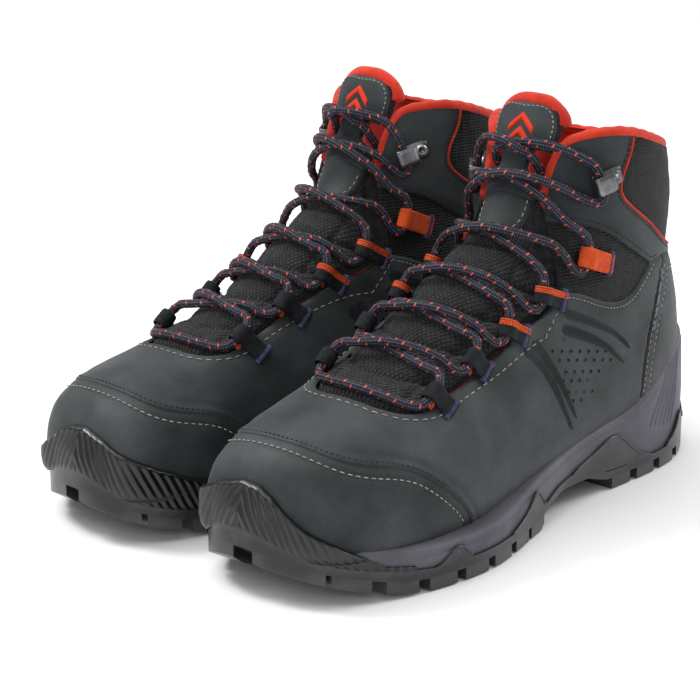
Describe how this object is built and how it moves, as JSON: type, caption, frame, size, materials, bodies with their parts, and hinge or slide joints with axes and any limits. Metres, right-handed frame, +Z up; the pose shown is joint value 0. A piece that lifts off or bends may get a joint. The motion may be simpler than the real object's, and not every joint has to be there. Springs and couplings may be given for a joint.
{
  "type": "hiking boots",
  "caption": "Mid-height lace-up hiking boots, left and right, with leather upper, woven ankle panels, rubber toe bumper, foam midsole, lugged outsole and padded tongue.",
  "frame": {"origin": "on the ground, at the middle of the pair's footprint box", "axes": "+Z up; toes point along -Y; +X toward the wearer's left boot"},
  "size_m": [0.2236, 0.3048, 0.1899],
  "materials": {
    "nubuck": "matt nubuck",
    "softshell": "matt woven",
    "sole_rubber": "matt",
    "sole_foam": "matt foam",
    "inner_board": "matt fibre board",
    "orange_lining": "brushed textile",
    "orange_binding": "textile binding",
    "footbed_felt": "felt",
    "tongue_textile": "crinkled textile",
    "emblem": "satin",
    "black_webbing": "ribbed webbing",
    "orange_webbing": "ribbed webbing",
    "gunmetal": "satin gunmetal",
    "lace_braid": "round braid",
    "aglet_plastic": "clear-coated tip"
  },
  "bodies": {
    "left_boot": {"left_toe_cap": "nubuck", "left_heel_panel": "nubuck", "left_softshell_outer": "softshell", "left_softshell_inner": "softshell", "left_ankle_panel": "nubuck", "left_rear_collar": "softshell", "left_quarters": "nubuck", "left_outsole": "sole_rubber", "left_toe_bumper": "sole_rubber", "left_shank": "inner_board", "left_midsole": "sole_foam", "left_lasting_board": "inner_board", "left_heel_counter": "inner_board", "left_lining": "orange_lining", "left_collar_piping": "orange_binding", "left_loops_black": "black_webbing", "left_loops_striped": "black_webbing", "left_loops_orange": "orange_webbing", "left_lace_hooks": "gunmetal", "left_hook_rivets": "gunmetal", "left_lace": "lace_braid", "left_aglets": "aglet_plastic"},
    "left_tongue": {"left_tongue": "tongue_textile", "left_tongue_lining": "orange_lining", "left_tongue_patch_top": "nubuck", "left_tongue_patch_low": "nubuck", "left_tongue_emblem": "emblem", "left_gussets": "tongue_textile"},
    "left_footbed": {"left_footbed": "footbed_felt"},
    "right_boot": {"right_toe_cap": "nubuck", "right_heel_panel": "nubuck", "right_softshell_outer": "softshell", "right_softshell_inner": "softshell", "right_ankle_panel": "nubuck", "right_rear_collar": "softshell", "right_quarters": "nubuck", "right_outsole": "sole_rubber", "right_toe_bumper": "sole_rubber", "right_shank": "inner_board", "right_midsole": "sole_foam", "right_lasting_board": "inner_board", "right_heel_counter": "inner_board", "right_lining": "orange_lining", "right_collar_piping": "orange_binding", "right_loops_black": "black_webbing", "right_loops_striped": "black_webbing", "right_loops_orange": "orange_webbing", "right_lace_hooks": "gunmetal", "right_hook_rivets": "gunmetal", "right_lace": "lace_braid", "right_aglets": "aglet_plastic"},
    "right_tongue": {"right_tongue": "tongue_textile", "right_tongue_lining": "orange_lining", "right_tongue_patch_top": "nubuck", "right_tongue_patch_low": "nubuck", "right_tongue_emblem": "emblem", "right_gussets": "tongue_textile"},
    "right_footbed": {"right_footbed": "footbed_felt"}
  },
  "joints": [
    {"name": "left_boot_place", "type": "slide", "parent": "right_boot", "child": "left_boot", "axis": [1, 0, 0], "range_m": [0, 0.15]},
    {"name": "left_tongue_hinge", "type": "hinge", "parent": "left_boot", "child": "left_tongue", "pos_m": [0.05776, -0.08983, 0.066], "axis": [0.9986, 0.0523, 0], "range_deg": [-4, 0], "stiffness_Nm_per_rad": 0.6, "springref_deg": 20.05},
    {"name": "left_footbed_lift", "type": "hinge", "parent": "left_boot", "child": "left_footbed", "pos_m": [0.06421, -0.13635, 0.027], "axis": [0.9986, 0.0523, 0], "range_deg": [0, 4]},
    {"name": "right_tongue_hinge", "type": "hinge", "parent": "right_boot", "child": "right_tongue", "pos_m": [-0.05776, -0.08983, 0.066], "axis": [0.9986, -0.0523, 0], "range_deg": [-4, 0], "stiffness_Nm_per_rad": 0.6, "springref_deg": 20.05},
    {"name": "right_footbed_lift", "type": "hinge", "parent": "right_boot", "child": "right_footbed", "pos_m": [-0.06421, -0.13635, 0.027], "axis": [0.9986, -0.0523, 0], "range_deg": [0, 4]}
  ]
}
